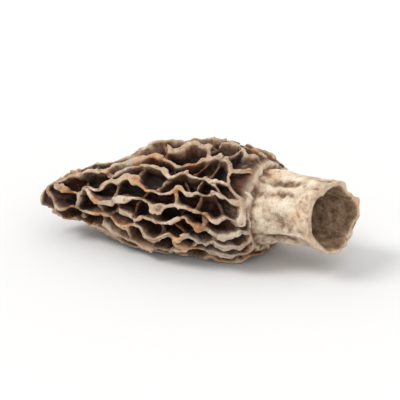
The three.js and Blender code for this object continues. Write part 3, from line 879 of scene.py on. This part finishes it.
def flesh_material():
    m = Nodes("dried_flesh")
    where = m.add("ShaderNodeTexCoord").outputs["Object"]
    rise, inner, stem, margin, foot = [m.attribute(a) for a in ("rise", "inner", "stem", "margin", "foot")]
    crest_light_crease_shade, bulge_light_hollow_shade = m.attribute("crest_light_crease_shade"), m.attribute("bulge_light_hollow_shade")

    patches = m.noise(where, 250.0, 2.0)            # about 4 mm
    drift = m.noise(where, 120.0, 1.0)              # about 8 mm
    mottle = m.noise(where, 900.0, 4.0, 0.6)        # about 1 mm
    flecks = m.noise(where, 2100.0, 3.0, 0.6)       # about 0.5 mm
    grain = m.noise(where, 4600.0, 3.0, 0.6)        # about 0.2 mm
    dust = m.noise(where, 11000.0, 2.0, 0.6)

    def off(v, share):
        return m.math("MULTIPLY", m.math("SUBTRACT", v, 0.5), share)

    def times(v, w):
        return m.math("MULTIPLY", v, w)

    # height above the pit's floor, broken up so that the pale edge wanders: the dark pits are partly their own colour
    # and partly painted shade, the pale rib tops partly painted light, and the curvature term adds a painted highlight
    # on rib edges and painted shade in creases
    k = m.math("ADD", rise, off(mottle, 0.42))
    k = m.math("ADD", k, off(patches, 0.30))
    k = m.math("ADD", k, off(crest_light_crease_shade, 0.42))
    k = m.math("ADD", k, off(flecks, 0.22), clamp=True)
    cap = m.ramp(k, [
        (0.00, colour(35, 23, 17)),
        (0.22, colour(52, 34, 25)),
        (0.42, colour(76, 52, 38)),
        (0.58, colour(102, 76, 58)),
        (0.72, colour(130, 103, 81)),
        (0.86, colour(157, 130, 106)),
        (1.00, colour(184, 160, 136)),
    ])
    # the rolled edges are bleached to cream here and there
    bleached = times(m.span(m.noise(where, 420.0, 3.0), 0.50, 0.66), m.span(k, 0.74, 0.98))
    cap = m.mix(times(bleached, 0.72), cap, colour(218, 202, 182))
    # greyer, redder and purplish places
    grey = times(m.span(drift, 0.48, 0.68), 0.55)
    cap = m.mix(grey, cap, m.mix(0.75, cap, m.ramp(k, [(0.0, colour(33, 27, 26)), (0.5, colour(90, 79, 73)), (1.0, colour(190, 178, 167))])))
    rust = times(m.span(m.noise(where, 330.0, 3.0), 0.49, 0.66), 0.74)
    cap = m.mix(rust, cap, m.mix(1.0, cap, colour(255, 202, 144), "MULTIPLY"))
    deep = times(m.span(k, 0.55, 0.15), m.span(m.noise(where, 520.0, 3.0), 0.50, 0.68))
    cap = m.mix(times(deep, 0.78), cap, colour(98, 53, 34))
    # the thin skin on the ribs is worn and stained in flecks
    cap = m.mix(times(m.span(flecks, 0.60, 0.74), 0.45), cap, m.mix(1.0, cap, colour(186, 152, 124), "MULTIPLY"))

    # the stem's pale tone is lifted on broad bulges and lowered in broad hollows: painted light and painted shade
    g = m.math("ADD", times(mottle, 0.50), times(bulge_light_hollow_shade, 0.34))
    g = m.math("ADD", g, times(flecks, 0.30))
    pale = m.ramp(g, [
        (0.34, colour(110, 88, 70)),
        (0.44, colour(148, 125, 104)),
        (0.53, colour(180, 159, 137)),
        (0.63, colour(208, 190, 167)),
        (0.78, colour(231, 218, 199)),
    ])
    pale = m.mix(times(m.span(patches, 0.52, 0.72), 0.55), pale, m.mix(1.0, pale, colour(246, 212, 174), "MULTIPLY"))
    spots = m.span(m.noise(where, 620.0, 4.0, 0.66, 0.8), 0.60, 0.70)
    pale = m.mix(times(spots, 0.55), pale, colour(124, 92, 67))
    # painted shade: the stem is darkened in its fine creases
    pale = m.mix(times(m.span(crest_light_crease_shade, 0.44, 0.18), 0.50), pale, m.mix(1.0, pale, colour(176, 142, 112), "MULTIPLY"))
    pale = m.mix(times(foot, 0.40), pale, m.mix(1.0, pale, colour(206, 168, 130), "MULTIPLY"))
    inside = m.ramp(m.math("ADD", times(mottle, 0.7), times(flecks, 0.3)), [
        (0.36, colour(104, 79, 59)), (0.50, colour(148, 120, 94)), (0.66, colour(194, 168, 138))])
    col = m.mix(stem, cap, pale)
    col = m.mix(inner, col, inside)
    col = m.mix(times(m.span(grain, 0.46, 0.66), 0.30), col, m.mix(1.0, col, colour(170, 152, 138), "MULTIPLY"))

    rough = m.span(m.math("ADD", times(grain, 0.5), times(mottle, 0.5)), 0.35, 0.65, 0.62, 0.90)

    height = m.math("ADD", times(grain, 0.7), times(mottle, 0.9))
    height = m.math("ADD", height, times(flecks, 0.9))
    height = m.math("ADD", height, times(dust, 0.18))
    bump = m.add("ShaderNodeBump")
    bump.inputs["Strength"].default_value = 0.85
    bump.inputs["Distance"].default_value = 0.00018
    m.put(bump.inputs["Height"], height)

    b = m.add("ShaderNodeBsdfPrincipled")
    m.put(b.inputs["Base Color"], col)
    m.put(b.inputs["Roughness"], rough)
    m.put(b.inputs["Normal"], bump.outputs[0])
    b.inputs["Specular IOR Level"].default_value = 0.30
    out = m.add("ShaderNodeOutputMaterial")
    m.put(out.inputs["Surface"], b.outputs[0])
    return m.mat


body.materials.append(flesh_material())
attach(morel, "root")
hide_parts("dried_morel")

# ======================================================================================================
# Floor, light, camera
# ======================================================================================================
def floor_sheet():
    """a wide pale floor"""
    half = 6.0
    me = bpy.data.meshes.new("floor")
    me.from_pydata([(-half, -half, 0), (half, -half, 0), (half, half, 0), (-half, half, 0)], [], [(0, 1, 2, 3)])
    ob = bpy.data.objects.new("floor", me)
    bpy.context.scene.collection.objects.link(ob)
    m = Nodes("floor_paint")
    b = m.add("ShaderNodeBsdfPrincipled")
    b.inputs["Base Color"].default_value = (0.70, 0.70, 0.70, 1)
    b.inputs["Roughness"].default_value = 0.9
    b.inputs["Specular IOR Level"].default_value = 0.0
    m.put(m.add("ShaderNodeOutputMaterial").inputs["Surface"], b.outputs[0])
    me.materials.append(m.mat)
    return ob


floor_sheet()
world = bpy.data.worlds.new("studio")
bpy.context.scene.world = world
world.use_nodes = True
world.node_tree.nodes["Background"].inputs[0].default_value = (1.0, 1.0, 1.0, 1)
world.node_tree.nodes["Background"].inputs[1].default_value = 1.0

TARGET = Vector((0.0, 0.0, float(P[:, 2].max()) / 2000.0))


def far_light(name, towards, strength, spread, tint=(1, 1, 1)):
    """a large soft source far off, so that the floor is lit alike all over"""
    l = bpy.data.lights.new(name, "SUN")
    l.energy = strength
    l.angle = math.radians(spread)
    l.color = tint
    o = bpy.data.objects.new(name, l)
    bpy.context.scene.collection.objects.link(o)
    o.location = TARGET + Vector(towards)
    o.rotation_mode = "QUATERNION"
    o.rotation_quaternion = (TARGET - o.location).to_track_quat("-Z", "Y")
    return o


far_light("key", (-0.62, -0.42, 0.86), 1.68, 24.0, (1.0, 0.985, 0.96))
far_light("fill", (0.80, -0.42, 0.44), 0.35, 50.0, (0.97, 0.985, 1.0))

AZIMUTH, ELEVATION, LENS, FILL = 24.0, 22.0, 128.0, 0.80
a, e = math.radians(AZIMUTH), math.radians(ELEVATION)
back = Vector((math.sin(a) * math.cos(e), -math.cos(a) * math.cos(e), math.sin(e)))
right = Vector((math.cos(a), math.sin(a), 0.0))
above = back.cross(right)
cam = bpy.data.cameras.new("camera")
cam.sensor_width = 36.0
cam.lens = LENS
cam.clip_start = 0.005
cam.clip_end = 10.0
camera = bpy.data.objects.new("camera", cam)
bpy.context.scene.collection.objects.link(camera)
bpy.context.scene.camera = camera
# frame the part: its middle in the image's middle, its width over FILL of the frame
Pm = P / 1000.0
aim, dist = TARGET.copy(), 0.16
for _ in range(12):
    eye = aim + back * dist
    rel = Pm - np.array(eye)
    depth = -(rel @ np.array(back))
    px = rel @ np.array(right) / depth * LENS / 36.0
    py = rel @ np.array(above) / depth * LENS / 36.0
    aim = aim + right * float((px.max() + px.min()) / 2 * dist * 36.0 / LENS) + above * float((py.max() + py.min()) / 2 * dist * 36.0 / LENS)
    dist *= float(max(px.max() - px.min(), py.max() - py.min())) / FILL
camera.location = aim + back * dist
camera.rotation_mode = "QUATERNION"
camera.rotation_quaternion = (-back).to_track_quat("-Z", "Y")
bpy.context.scene.view_settings.view_transform = "Standard"
